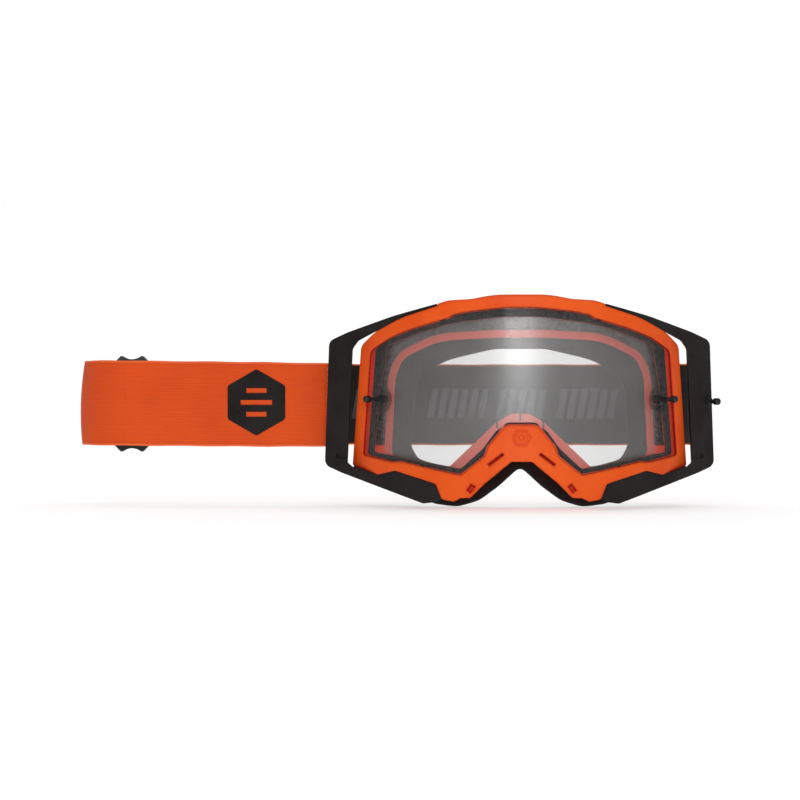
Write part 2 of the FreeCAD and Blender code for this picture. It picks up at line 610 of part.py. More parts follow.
def strap_adjuster():
    """Three-bar slide: the web runs inside the outer bars and outside the middle one."""
    half_wide, half_tall = ADJUSTER_WIDE / 2, ADJUSTER_TALL / 2
    gap = STRAP_THICK / 2 + 0.35
    bar_deep = ADJUSTER_DEEP / 2
    y0 = REAR_RUN_Y - gap - bar_deep
    y1 = REAR_RUN_Y + gap + bar_deep
    x0, x1 = ADJUSTER_X - half_wide, ADJUSTER_X + half_wide
    slot_low, slot_high = STRAP_Z - ADJUSTER_SLOT / 2, STRAP_Z + ADJUSTER_SLOT / 2
    shoulder = half_tall - (half_wide - ADJUSTER_TIP)
    corners = [(ADJUSTER_X + x, ADJUSTER_Z + z, 0.6) for x, z in
               ((-half_wide, shoulder), (-ADJUSTER_TIP, half_tall), (ADJUSTER_TIP, half_tall),
                (half_wide, shoulder), (half_wide, -shoulder), (ADJUSTER_TIP, -half_tall),
                (-ADJUSTER_TIP, -half_tall), (-half_wide, -shoulder))]
    ends = prism(corners, y0, y1).cut(box(x0, x1, y0, y1, slot_low, slot_high))
    chord = ADJUSTER_TIP - 0.8
    hollow_r = (chord ** 2 + ADJUSTER_HOLLOW ** 2) / (2 * ADJUSTER_HOLLOW)
    for way in (-1, 1):
        centre_z = ADJUSTER_Z + way * (half_tall + hollow_r - ADJUSTER_HOLLOW)
        ends = ends.cut(Part.makeCylinder(hollow_r, 40, Vector(ADJUSTER_X, y0 - 5, centre_z),
                                          Vector(0, 1, 0)))
    shape = ends
    for x in (x0, x1 - ADJUSTER_BAR):
        shape = shape.fuse(box(x, x + ADJUSTER_BAR, y0, y0 + bar_deep, slot_low, slot_high))
    middle = ADJUSTER_X - ADJUSTER_BAR / 2
    shape = shape.fuse(box(middle, middle + ADJUSTER_BAR, y1 - bar_deep, y1,
                           slot_low, slot_high))
    return shape.removeSplitter()


# ---- build and save ---------------------------------------------------------------------------
def save(name, shape):
    shape.exportStep("parts/%s.step" % name)


def main():
    os.makedirs("parts", exist_ok=True)
    vents = vent_cutters()
    pins = snap_pins()
    bezel = front_frame()
    tub = inner_frame()
    arm = outrigger_right()
    arm_left = mirror_x(arm)
    for pin in pins:
        bezel = bezel.cut(pin)
        tub = tub.cut(pin)
        arm = arm.cut(pin)
        arm_left = arm_left.cut(pin)
    for vent in vents:
        bezel = bezel.cut(vent)
        tub = tub.cut(vent)
    side_post = outrigger_post()
    save("front_frame", bezel)
    save("inner_frame", tub)
    save("face_flange", face_flange())
    save("vent_liner", vent_liner())
    save("vent_foam_low_left", low_vent_foam(-1))
    save("vent_foam_low_right", low_vent_foam(1))
    save("lens", lens())
    save("lens_spacer", lens_spacer())
    save("lens_inner", lens_inner())
    for side, word in ((-1, "left"), (1, "right")):
        save("tearoff_post_" + word, tearoff_post(side))
        save("post_washer_" + word, lens_washer(side))
        save("post_nut_" + word, post_nut(side))
        save("strap_bar_" + word, strap_bar(side))
    save("washer_pin", lens_pin())
    save("outrigger_right", arm.cut(side_post))
    save("outrigger_left", arm_left)
    save("outrigger_post", side_post)
    save("outrigger_snap_pins", Part.makeCompound(pins))
    save("foam_base", foam_layer(BASE_FRONT_R, MID_FRONT_R, 0.0))
    save("foam_middle", foam_layer(MID_FRONT_R, FLEECE_FRONT_R, 0.6))
    save("foam_fleece", foam_layer(FLEECE_FRONT_R, FOAM_REAR_R, 1.2))
    save("strap_front_run", strap_front_run())
    save("strap_fold", strap_fold())
    save("strap_rear_run", strap_rear_run())
    save("strap_return", strap_return())
    save("strap_loop_left", strap_loop_left())
    save("strap_loop_right", strap_loop_right())
    save("strap_badge", strap_badge())
    save("strap_grip", strap_grip())
    save("strap_adjuster", strap_adjuster())


main()
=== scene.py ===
"""Looks of the motocross goggles: materials, foam, webbing, stitches, light and camera."""
import bpy
import math
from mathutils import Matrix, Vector


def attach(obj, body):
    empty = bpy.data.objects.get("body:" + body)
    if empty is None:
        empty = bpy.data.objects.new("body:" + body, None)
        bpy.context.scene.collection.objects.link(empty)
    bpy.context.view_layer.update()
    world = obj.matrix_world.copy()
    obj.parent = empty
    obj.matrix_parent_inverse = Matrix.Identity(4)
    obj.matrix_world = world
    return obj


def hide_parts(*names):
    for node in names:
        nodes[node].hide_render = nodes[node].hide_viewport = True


MM = 0.001

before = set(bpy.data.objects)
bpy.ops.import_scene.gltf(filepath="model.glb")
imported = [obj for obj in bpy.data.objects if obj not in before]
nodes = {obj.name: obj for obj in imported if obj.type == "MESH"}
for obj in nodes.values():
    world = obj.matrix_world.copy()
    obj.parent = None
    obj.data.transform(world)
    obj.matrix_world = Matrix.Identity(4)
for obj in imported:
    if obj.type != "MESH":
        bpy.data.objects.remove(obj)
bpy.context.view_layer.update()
scene = bpy.context.scene

# ---- colours, linear RGB --------------------------------------------------------------------
ORANGE = (0.80, 0.100, 0.011)
ORANGE_DEEP = (0.74, 0.075, 0.008)
ORANGE_EDGE = (0.90, 0.20, 0.06)
INNER_ORANGE = (0.92, 0.110, 0.040)
INNER_ORANGE_DEEP = (0.82, 0.070, 0.030)
WEB_ORANGE = (0.74, 0.086, 0.011)
WEB_DEEP = (0.56, 0.048, 0.007)
WEB_EDGE = (0.86, 0.16, 0.045)
BLACK = (0.0085, 0.0065, 0.006)
BLACK_WORN = (0.016, 0.0135, 0.013)
# painted shade: deep reds that darken the frame's upright edges and its slots and pockets
EDGE_SHADE_RED = (0.62, 0.025, 0.008)
RECESS_SHADE_RED = (0.66, 0.008, 0.006)
JET = (0.008, 0.008, 0.008)
FOAM_BLACK = (0.010, 0.0095, 0.009)
FOAM_GREY = (0.060, 0.057, 0.053)
LENS_GREY = (0.45, 0.44, 0.43)
HAZE_GREY = (0.26, 0.25, 0.245)
SMOKE = (0.06, 0.058, 0.055)
STEEL = (0.40, 0.40, 0.41)
STEEL_DEEP = (0.30, 0.30, 0.31)
STEEL_WORN = (0.55, 0.55, 0.55)
SILICONE = (0.10, 0.10, 0.104)
SILICONE_DEEP = (0.065, 0.065, 0.068)
SILICONE_WORN = (0.13, 0.13, 0.13)
FACE_BLACK = (0.012, 0.011, 0.011)
FACE_BLACK_PALE = (0.024, 0.022, 0.022)
FLEECE_BLACK = (0.012, 0.012, 0.012)
FLEECE_PALE = (0.035, 0.034, 0.034)
VENT_PALE = (0.16, 0.155, 0.15)
WEB_INSIDE = (0.024, 0.024, 0.024)
WEB_INSIDE_DEEP = (0.012, 0.012, 0.012)
WEB_INSIDE_EDGE = (0.06, 0.05, 0.05)
WHITE = (1.0, 1.0, 1.0)

LENS_HAZE_HALF = 71.0    # millimetres from the middle to where the lens haze starts to fade
HAZE_FADE = 3.0         # millimetres over which it fades

# ---- strap, millimetres ---------------------------------------------------------------------
STRAP_MID_Z = -2.9         # middle of the webbing before it climbs
STRAP_HALF = 22.5
STRAP_THICK = 1.5
FRONT_RUN_Y = 19.5
REAR_RUN_Y = 65.0
FOLD_X = -240.6            # outermost point of the fold
FOLD_MID_Y = 52.0          # where its wide front bend meets its tight rear bend
FOLD_FRONT_R = 36.0
FOLD_REAR_R = 14.0
RETURN_R = 22.0            # bend behind the right outrigger
FRONT_WIDER = 0.018        # share by which the front run is wider than its ends
FOLD_WIDER = 0.028
FOLD_RISE = 1.35
EVEN_FROM = 104.0          # the rear run is level and even from here
EVEN_TO = 225.0            # to here, left of the middle, where the adjuster slides
EVEN_RISE = 0.6
FRONT_RISE = 0.3
MIDDLE_RISE = 0.2
CLIMB_FROM = 112.0         # the front run climbs between these two, left of the middle
CLIMB_TO = 222.0
MIDDLE_TO = 60.0           # the rear run is lowest within this distance of the middle
FOLD_FROM = 240.0          # the rear run has the fold's height and width from here
WIDEN_FROM = 105.0         # the front run widens between these two
WIDEN_TO = 135.0
FOLD_REACH = 90.0          # the fold's own widening fades over this length
BOW_LONG = 9.0             # the ends of the fold are pulled in over this length
BOW_DEEP = 1.65
BOW_LEAN = 0.75
RIPPLE_HIGH = 0.10         # small waves of the selvedges
RIPPLE_TURN = 0.21
BAR_X = 97.0
BAR_Y = 23.5
LOOP_R = 2.86              # bar centre to the middle of the webbing
WEB_STEP = 0.9             # length of one row of faces along the webbing
SLACK_START = -226.0       # the front run waves a little between these two
SLACK_END = -158.0
SLACK_DEEP = 0.8

STITCH_COUNT = 14
STITCH_PITCH = 3.0
STITCH_FIRST = -19.5       # lowest stitch, from the middle of the strap
STITCH_HALF = 1.0
STITCH_SINK = 0.12         # how far the ends of a stitch go into the webbing
THREAD_R = 0.24

GRIP_LOW, GRIP_HIGH = -10.3, 6.3
GRIP_SLANT = 3.0
GRIP_WIDE = 3.6
GRIP_PITCH = 5.6
GRIP_PROUD = 0.45
GRIP_GROUPS = ((-92.0, 1), (-50.0, 6), (-12.0, 5), (22.0, 6), (63.0, 1))   # first x, bars

# ---- foam -----------------------------------------------------------------------------------
PUFF_PRESSURE = 4.0
PUFF_FRAMES = 20
PUFF_MASS = 0.0005

# ---- stage, light, camera: metres, watts, degrees ---------------------------------------------
FLOOR_Z = -0.0570
FLOOR_HALF_WIDE = 3.5
FLOOR_NEAR_Y = -3.0
SWEEP_Y = 1.0              # the floor starts to bend up here
SWEEP_R = 0.7
WALL_TOP = 2.6
FLOOR_GREY = (0.50, 0.50, 0.50)
FLOOR_GLOW = 0.58
WORLD_LIGHT = 0.13
CENTRE = (0.0, 0.0, 0.0)
SOFTBOXES = (              # name, place, aim, size, power
    ("key", (-0.45, -1.25, 1.05), CENTRE, (1.0, 0.7), 4.2),
    ("front", (0.0, -1.55, 0.30), CENTRE, (0.5, 0.5), 8.8),
    ("fill", (0.9, -1.15, 0.35), CENTRE, (0.6, 0.6), 1.1),
    ("top", (0.0, 0.25, 1.5), (0.0, 0.1, 0.0), (2.0, 1.6), 8.5),
    ("wall", (0.0, 0.5, 1.6), (0.0, 1.7, 0.2), (2.4, 0.5), 11.0),
)
CAMERA_PLACE = (-0.0318, -1.3991, 0.0)
CAMERA_YAW = 1.3
CAMERA_LENS = 118.2        # millimetres, on a sensor 36 mm wide


# ---- node helpers -----------------------------------------------------------------------------
def linked(tree, kind, **inputs):
    """New node with its inputs set: a socket is linked, anything else is its value."""
    node = tree.nodes.new(kind)
    for key, value in inputs.items():
        socket = node.inputs[key.replace("_", " ")]
        if isinstance(value, bpy.types.NodeSocket):
            tree.links.new(value, socket)
        else:
            socket.default_value = value
    return node


def rgba(colour):
    """Colour with full opacity, as sockets want it."""
    return (*colour, 1.0)


def new_material(name):
    """New material with its node tree and its main shader."""
    material = bpy.data.materials.new(name)
    material.use_nodes = True
    tree = material.node_tree
    return material, tree, tree.nodes["Principled BSDF"]


def place(tree):
    """Coordinates of the piece itself, in metres."""
    return tree.nodes.new("ShaderNodeTexCoord").outputs["Object"]


def noise(tree, where, size_mm, detail=2.0):
    """Soft noise from 0 to 1 with patches of about this size."""
    node = linked(tree, "ShaderNodeTexNoise", Vector=where, Scale=1000.0 / size_mm, Detail=detail)
    return node.outputs["Fac"]


def ramp(tree, factor, low, high, start=0.35, end=0.65):
    """Colour that runs from low to high as the factor goes from start to end."""
    node = linked(tree, "ShaderNodeValToRGB", Fac=factor)
    node.color_ramp.elements[0].position = start
    node.color_ramp.elements[1].position = end
    node.color_ramp.elements[0].color = rgba(low)
    node.color_ramp.elements[1].color = rgba(high)
    return node.outputs["Color"]


def span(tree, factor, low, high, start=0.3, end=0.7):
    """Number that runs from low to high as the factor goes from start to end."""
    node = linked(tree, "ShaderNodeMapRange", Value=factor)
    node.inputs["From Min"].default_value = start
    node.inputs["From Max"].default_value = end
    node.inputs["To Min"].default_value = low
    node.inputs["To Max"].default_value = high
    return node.outputs["Result"]


def math_node(tree, operation, first, second=0.0):
    """Result of one arithmetic step; each operand is a socket or a number."""
    node = tree.nodes.new("ShaderNodeMath")
    node.operation = operation
    for socket, value in zip(node.inputs, (first, second)):
        if isinstance(value, bpy.types.NodeSocket):
            tree.links.new(value, socket)
        else:
            socket.default_value = value
    return node.outputs["Value"]


def blend_colour(tree, factor, first, second):
    """Colour between two others; each of the three is a socket or a plain value."""
    node = tree.nodes.new("ShaderNodeMix")
    node.data_type = "RGBA"
    for socket, value in zip((node.inputs["Factor"], node.inputs[6], node.inputs[7]),
                             (factor, first, second)):
        if isinstance(value, bpy.types.NodeSocket):
            tree.links.new(value, socket)
        elif isinstance(value, tuple):
            socket.default_value = rgba(value)
        else:
            socket.default_value = value
    return node.outputs[2]


def bump(tree, height, depth_mm, normal=None):
    """Normals that show a height as relief of this depth."""
    node = linked(tree, "ShaderNodeBump", Height=height, Strength=1.0, Distance=depth_mm * MM)
    if normal is not None:
        tree.links.new(normal, node.inputs["Normal"])
    return node.outputs["Normal"]


def round_edges(tree, radius_mm):
    """Normals rounded over the sharp edges, and a mask that is 1 on those edges."""
    bevel = linked(tree, "ShaderNodeBevel", Radius=radius_mm * MM)
    bevel.samples = 6
    flat = tree.nodes.new("ShaderNodeNewGeometry").outputs["Normal"]
    dot = tree.nodes.new("ShaderNodeVectorMath")
    dot.operation = "DOT_PRODUCT"
    tree.links.new(bevel.outputs["Normal"], dot.inputs[0])
    tree.links.new(flat, dot.inputs[1])
    return bevel.outputs["Normal"], span(tree, dot.outputs["Value"], 1.0, 0.0, 0.80, 0.99)


def upright_edges(tree, normal, edges):
    """Mask of the edges that run up and down, not of the level ones."""
    split = linked(tree, "ShaderNodeSeparateXYZ", Vector=normal)
    level = math_node(tree, "ABSOLUTE", split.outputs["Z"])
    return math_node(tree, "MULTIPLY", edges, span(tree, level, 1.0, 0.0, 0.15, 0.50))


def recess_shade_mask(tree, reach_mm):
    """Mask that is 1 inside slots and pockets, for painting shade into them."""
    node = linked(tree, "ShaderNodeAmbientOcclusion", Distance=reach_mm * MM)
    node.samples = 8
    return span(tree, node.outputs["AO"], 1.0, 0.0, 0.30, 0.75)


# ---- materials --------------------------------------------------------------------------------
def moulded_plastic(name, light, deep, worn, rough, round_mm, grain_mm=0.5, grain_depth_mm=0.02,
                    rim=None):
    """Moulded plastic: slow colour drift, fine grain, rounded edges that are a little worn.
    With a rim colour, upright edges take it as painted shade, and slots and pockets get painted
    shade in deep red."""
    material, tree, shader = new_material(name)
    where = place(tree)
    rounded, edges = round_edges(tree, round_mm)
    body = ramp(tree, noise(tree, where, 22.0, 3.0), deep, light, 0.30, 0.58)
    if rim is not None:
        # painted shade: upright edges turn deep red, where the frame's sides face away from the
        # light
        body = blend_colour(tree, upright_edges(tree, rounded, edges), body, rim)
        # painted shade: slots and pockets are filled with a dark saturated red
        body = blend_colour(tree, recess_shade_mask(tree, 3.5), body, RECESS_SHADE_RED)
    scuffs = span(tree, noise(tree, where, 2.4, 4.0), 0.0, 0.5, 0.52, 0.78)
    wear = math_node(tree, "MULTIPLY", edges, scuffs)
    tree.links.new(blend_colour(tree, wear, body, worn), shader.inputs["Base Color"])
    tree.links.new(span(tree, noise(tree, where, 5.0, 3.0), rough - 0.05, rough + 0.06),
                   shader.inputs["Roughness"])
    grain = noise(tree, where, grain_mm, 1.0)
    tree.links.new(bump(tree, grain, grain_depth_mm, rounded), shader.inputs["Normal"])
    return material, shader


def foam(name, dark, light, cell_mm, depth_mm, sheen=0.1):
    """Foam: small cells, lighter cell walls and a matt, slightly uneven surface."""
    material, tree, shader = new_material(name)
    where = place(tree)
    cells = linked(tree, "ShaderNodeTexVoronoi", Vector=where, Scale=1000.0 / cell_mm)
    speck = noise(tree, where, cell_mm * 1.7, 3.0)
    colour = ramp(tree, speck, dark, light, 0.42, 0.72)
    shade = ramp(tree, noise(tree, where, 14.0), (0.0, 0.0, 0.0), light, 0.2, 1.4)
    tree.links.new(blend_colour(tree, 0.25, colour, shade), shader.inputs["Base Color"])
    tree.links.new(span(tree, speck, 0.86, 1.0), shader.inputs["Roughness"])
    rough = math_node(tree, "ADD", cells.outputs["Distance"], speck)
    tree.links.new(bump(tree, rough, depth_mm), shader.inputs["Normal"])
    shader.inputs["Sheen Weight"].default_value = sheen
    shader.inputs["Specular IOR Level"].default_value = 0.15
    return material


def webbing(name, light, deep, edge, rib_mm, sheen):
    """Elastic webbing from the piece's own length and width: ribs, picks and selvedges."""
    material, tree, shader = new_material(name)
    web = tree.nodes.new("ShaderNodeAttribute")
    web.attribute_name = "web"
    split = linked(tree, "ShaderNodeSeparateXYZ", Vector=web.outputs["Vector"])
    along, across = split.outputs["X"], split.outputs["Y"]
    turn = 2.0 * math.pi * 1000.0 / rib_mm
    ribs = math_node(tree, "SINE", math_node(tree, "MULTIPLY", across, turn))
    picks = math_node(tree, "SINE", math_node(tree, "MULTIPLY", along, turn * 1.6))
    weave = math_node(tree, "ADD", ribs, math_node(tree, "MULTIPLY", picks, 0.35))
    drawn = linked(tree, "ShaderNodeMapping", Vector=web.outputs["Vector"], Scale=(0.12, 1, 1))
    uneven = noise(tree, drawn.outputs["Vector"], 1.1, 3.0)
    height = math_node(tree, "ADD", math_node(tree, "MULTIPLY", weave, 0.25), uneven)
    body = ramp(tree, height, deep, light, 0.0, 0.85)
    drift = ramp(tree, noise(tree, web.outputs["Vector"], 40.0), deep, light, 0.2, 0.6)
    body = blend_colour(tree, 0.45, body, drift)
    width = math_node(tree, "ABSOLUTE", across)
    selvedge = span(tree, width, 0.0, 1.0, (STRAP_HALF - 1.25) * MM, (STRAP_HALF - 0.75) * MM)
    groove = span(tree, math_node(tree, "ABSOLUTE", math_node(
        tree, "SUBTRACT", width, (STRAP_HALF - 1.7) * MM)), 1.0, 0.0, 0.0, 0.35 * MM)
    coloured = blend_colour(tree, math_node(tree, "MULTIPLY", selvedge, 0.7), body, edge)
    coloured = blend_colour(tree, math_node(tree, "MULTIPLY", groove, 0.45), coloured, deep)
    tree.links.new(coloured, shader.inputs["Base Color"])
    tree.links.new(span(tree, uneven, 0.74, 0.92), shader.inputs["Roughness"])
    relief = math_node(tree, "SUBTRACT", height, math_node(tree, "MULTIPLY", groove, 2.0))
    tree.links.new(bump(tree, relief, 0.035), shader.inputs["Normal"])
    shader.inputs["Sheen Weight"].default_value = sheen
    shader.inputs["Specular IOR Level"].default_value = 0.2
    return material


def clear_plastic(name, colour, alpha, edge_alpha, rough, ior, haze_half_mm=None):
    """Clear plastic with faint smears in its haze and gloss, and cut edges that show more.
    Given a half width, the pane keeps only a quarter of its haze beyond that distance from its
    middle."""
    material, tree, shader = new_material(name)
    where = place(tree)
    smear = noise(tree, where, 34.0, 3.0)
    dimmer = tuple(c * 0.86 for c in colour)
    tree.links.new(ramp(tree, smear, dimmer, colour), shader.inputs["Base Color"])
    tree.links.new(span(tree, noise(tree, where, 9.0, 4.0), rough, rough * 1.2 + 0.02),
                   shader.inputs["Roughness"])
    tree.links.new(bump(tree, noise(tree, where, 60.0), 0.03), shader.inputs["Normal"])
    edges = round_edges(tree, 0.25)[1]
    haze = span(tree, smear, alpha * 0.92, alpha * 1.08)
    if haze_half_mm is not None:
        split = linked(tree, "ShaderNodeSeparateXYZ", Vector=where)
        lean = math_node(tree, "MULTIPLY", split.outputs["Z"], 0.05)
        reach = math_node(tree, "SUBTRACT", math_node(tree, "ABSOLUTE", split.outputs["X"]),
                          lean)
        haze_kept = span(tree, reach, 1.0, 0.25, haze_half_mm * MM,
                      (haze_half_mm + HAZE_FADE) * MM)
        haze = math_node(tree, "MULTIPLY", haze_kept, haze)
    rim = math_node(tree, "MULTIPLY", edges, edge_alpha)
    tree.links.new(math_node(tree, "MAXIMUM", haze, rim), shader.inputs["Alpha"])
    shader.inputs["IOR"].default_value = ior
    shader.inputs["Specular IOR Level"].default_value = 1.0
    return material


frame_orange, shader = moulded_plastic("frame_orange", ORANGE, ORANGE_DEEP, ORANGE_EDGE,
                                       rough=0.42, round_mm=2.2, grain_depth_mm=0.012,
                                       rim=EDGE_SHADE_RED)
shader.inputs["Specular IOR Level"].default_value = 0.12
inner_orange, shader = moulded_plastic("inner_orange", INNER_ORANGE, INNER_ORANGE_DEEP,
                                       ORANGE_EDGE, rough=0.50, round_mm=0.5)
# painted light: the inner frame gives off a faint glow of its own orange
shader.inputs["Emission Color"].default_value = rgba(INNER_ORANGE)
shader.inputs["Emission Strength"].default_value = 0.10
outrigger_black, shader = moulded_plastic("outrigger_black", BLACK_WORN, BLACK, BLACK_WORN,
                                          rough=0.60, round_mm=1.2, grain_mm=0.6,
                                          grain_depth_mm=0.03)
shader.inputs["Specular IOR Level"].default_value = 0.18
adjuster_black, shader = moulded_plastic("adjuster_black", BLACK_WORN, BLACK, BLACK_WORN,
                                         rough=0.45, round_mm=0.5)
post_black, shader = moulded_plastic("post_black", JET, JET, BLACK_WORN, rough=0.20,
                                     round_mm=0.35, grain_mm=1.5, grain_depth_mm=0.01)
badge_print, shader = moulded_plastic("badge_print", BLACK_WORN, BLACK, BLACK_WORN, rough=0.70,
                                      round_mm=0.15, grain_mm=0.7, grain_depth_mm=0.03)
shader.inputs["Specular IOR Level"].default_value = 0.12
bar_steel, shader = moulded_plastic("bar_steel", STEEL, STEEL_DEEP, STEEL_WORN, rough=0.30,
                                    round_mm=0.3, grain_mm=1.0, grain_depth_mm=0.01)
shader.inputs["Metallic"].default_value = 1.0
grip_silicone, shader = moulded_plastic("grip_silicone", SILICONE, SILICONE_DEEP,
                                        SILICONE_WORN, rough=0.42, round_mm=0.4,
                                        grain_mm=1.2, grain_depth_mm=0.03)
shader.inputs["Specular IOR Level"].default_value = 0.3
face_foam = foam("face_foam", FACE_BLACK, FACE_BLACK_PALE, cell_mm=0.9, depth_mm=0.10)
face_fleece = foam("face_fleece", FLEECE_BLACK, FLEECE_PALE, cell_mm=0.45, depth_mm=0.30,
                   sheen=0.2)
vent_mesh = foam("vent_mesh", FOAM_BLACK, VENT_PALE, cell_mm=1.3, depth_mm=0.45)
spacer_foam = foam("spacer_foam", FOAM_BLACK, FOAM_GREY, cell_mm=0.8, depth_mm=0.20)
web_outer = webbing("web_outer", WEB_ORANGE, WEB_DEEP, WEB_EDGE, rib_mm=1.1, sheen=0.02)
web_inner = webbing("web_inner", WEB_INSIDE, WEB_INSIDE_DEEP, WEB_INSIDE_EDGE, rib_mm=0.9,
                    sheen=0.2)
thread, shader = moulded_plastic("thread", WEB_EDGE, WEB_ORANGE, WEB_EDGE, rough=0.6,
                                 round_mm=0.1, grain_mm=0.4, grain_depth_mm=0.05)
lens_clear = clear_plastic("lens_clear", LENS_GREY, alpha=0.03, edge_alpha=0.30, rough=0.06,
                           ior=1.45)
lens_haze = clear_plastic("lens_haze", HAZE_GREY, alpha=0.20, edge_alpha=0.40, rough=0.31,
                          ior=2.3, haze_half_mm=LENS_HAZE_HALF)
washer_clear = clear_plastic("washer_clear", SMOKE, alpha=0.12, edge_alpha=0.45, rough=0.15,
                             ior=1.45)

CARRIED_OVER = {
    frame_orange: ("front_frame",),
    inner_orange: ("inner_frame", "face_flange"),
    outrigger_black: ("outrigger_left", "outrigger_right", "outrigger_snap_pins"),
    adjuster_black: ("strap_adjuster",),
    post_black: ("tearoff_post_left", "tearoff_post_right", "outrigger_post", "post_nut_left",
                 "post_nut_right", "washer_pin"),
    badge_print: ("strap_badge",),
    bar_steel: ("strap_bar_left", "strap_bar_right"),
    lens_clear: ("lens",),
    lens_haze: ("lens_inner",),
    washer_clear: ("post_washer_left", "post_washer_right"),
}
for material, names in CARRIED_OVER.items():
    for name in names:
        node = nodes[name]
        node.data.materials.clear()
        node.data.materials.append(material)


# ---- pieces -----------------------------------------------------------------------------------
def add_mesh(name, points_mm, faces, materials, body):
    """New piece from points in millimetres, riding on a body."""
    mesh = bpy.data.meshes.new(name)
    mesh.from_pydata([Vector(p) * MM for p in points_mm], [], faces)
    for material in materials:
        mesh.materials.append(material)
    piece = bpy.data.objects.new(name, mesh)
    scene.collection.objects.link(piece)
    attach(piece, body)
    return piece


def bake_modifiers(piece):
    """Keep the shape that the piece's modifiers make, and drop them."""
    graph = bpy.context.evaluated_depsgraph_get()
    mesh = bpy.data.meshes.new_from_object(piece.evaluated_get(graph))
    piece.modifiers.clear()
    piece.data = mesh


def smooth_shade(piece):
    """Shade all faces of the piece as one curved surface."""
    piece.data.polygons.foreach_set("use_smooth", [True] * len(piece.data.polygons))


def puff(piece, limit_mm):
    """Swell the piece as air-filled cloth, then hold each point within a limit of its start."""
    mesh = piece.data
    cloth = piece.modifiers.new("puff", "CLOTH")
    cloth.settings.quality = 4
    cloth.settings.mass = PUFF_MASS
    cloth.settings.use_pressure = True
    cloth.settings.uniform_pressure_force = PUFF_PRESSURE
    cloth.settings.effector_weights.gravity = 0.0
    cloth.point_cache.frame_start = 1
    cloth.point_cache.frame_end = PUFF_FRAMES
    for step in range(1, PUFF_FRAMES + 1):
        scene.frame_set(step)
    graph = bpy.context.evaluated_depsgraph_get()
    swollen = piece.evaluated_get(graph).data
    for vertex, moved in zip(mesh.vertices, swollen.vertices):
        shift = moved.co - vertex.co
        if shift.length > limit_mm * MM:
            shift *= limit_mm * MM / shift.length
        vertex.co += shift
    piece.modifiers.clear()
    scene.frame_set(1)


def soft_piece(name, node, material, slot, body, voxel_mm, rounds, fill, swell_mm):
    """Foam made from the space its solid holds: remeshed, its edges rounded by smoothing,
    and swollen by up to swell_mm."""
    mesh = nodes[node].data.copy()
    mesh.materials.clear()
    mesh.materials.append(material)
    piece = bpy.data.objects.new(name, mesh)
    scene.collection.objects.link(piece)
    remesh = piece.modifiers.new("voxels", "REMESH")
    remesh.mode = "VOXEL"
    remesh.voxel_size = voxel_mm * MM
    soften = piece.modifiers.new("soften", "SMOOTH")
    soften.factor = 0.5
    soften.iterations = rounds
    bake_modifiers(piece)
    if swell_mm:
        puff(piece, swell_mm)
    smooth_shade(piece)
    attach(piece, body)
    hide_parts(node)


SOFT_PIECES = (   # name, node, material, slot, body, voxel, rounds, fill, swell; millimetres
    ("foam_base_layer", "foam_base", face_foam, "foam_dark", "goggles", 1.3, 5, 0.9, 0.9),
    ("foam_middle_layer", "foam_middle", face_foam, "foam_dark", "goggles", 1.3, 5, 0.9, 1.2),
    ("foam_fleece_layer", "foam_fleece", face_fleece, "fleece", "goggles", 0.9, 6, 0.8, 0.0),
    ("vent_liner_foam", "vent_liner", vent_mesh, "vent_foam", "goggles", 0.8, 3, 1.0, 0.0),
    ("vent_foam_low_strip_left", "vent_foam_low_left", vent_mesh, "vent_foam", "goggles",
     0.7, 3, 1.0, 0.0),
    ("vent_foam_low_strip_right", "vent_foam_low_right", vent_mesh, "vent_foam", "goggles",
     0.7, 3, 1.0, 0.0),
    ("lens_spacer_foam", "lens_spacer", spacer_foam, "spacer_foam", "lens_unit",
     0.6, 2, 1.0, 0.0),
)
for row in SOFT_PIECES:
    soft_piece(*row)


# ---- webbing ----------------------------------------------------------------------------------
def arc(cx, cy, rx, ry, start, end, count):
    """Points along part of an ellipse, in degrees."""
    turns = [math.radians(start + (end - start) * k / count) for k in range(count + 1)]
    return [(cx + rx * math.cos(t), cy + ry * math.sin(t)) for t in turns]


def smooth_path(points, step):
    """Evenly spaced points on a smooth curve through the given ones."""
    dense = []
    for i in range(len(points) - 1):
        p0 = Vector(points[max(i - 1, 0)])
        p1 = Vector(points[i])
        p2 = Vector(points[i + 1])
        p3 = Vector(points[min(i + 2, len(points) - 1)])
        long = (p2 - p1).length
        m1 = (p2 - p0) * (long / max((p2 - p0).length, 1e-6))
        m2 = (p3 - p1) * (long / max((p3 - p1).length, 1e-6))
        pieces = max(2, int(long / 0.25))
        for k in range(pieces):
            t = k / pieces
            dense.append(p1 * (2 * t ** 3 - 3 * t ** 2 + 1) + m1 * (t ** 3 - 2 * t ** 2 + t)
                         + p2 * (3 * t ** 2 - 2 * t ** 3) + m2 * (t ** 3 - t ** 2))
    dense.append(Vector(points[-1]))
    path = [dense[0]]
    walked = 0.0
    for a, b in zip(dense, dense[1:]):
        walked += (b - a).length
        if walked >= step:
            path.append(b)
            walked = 0.0
    return path


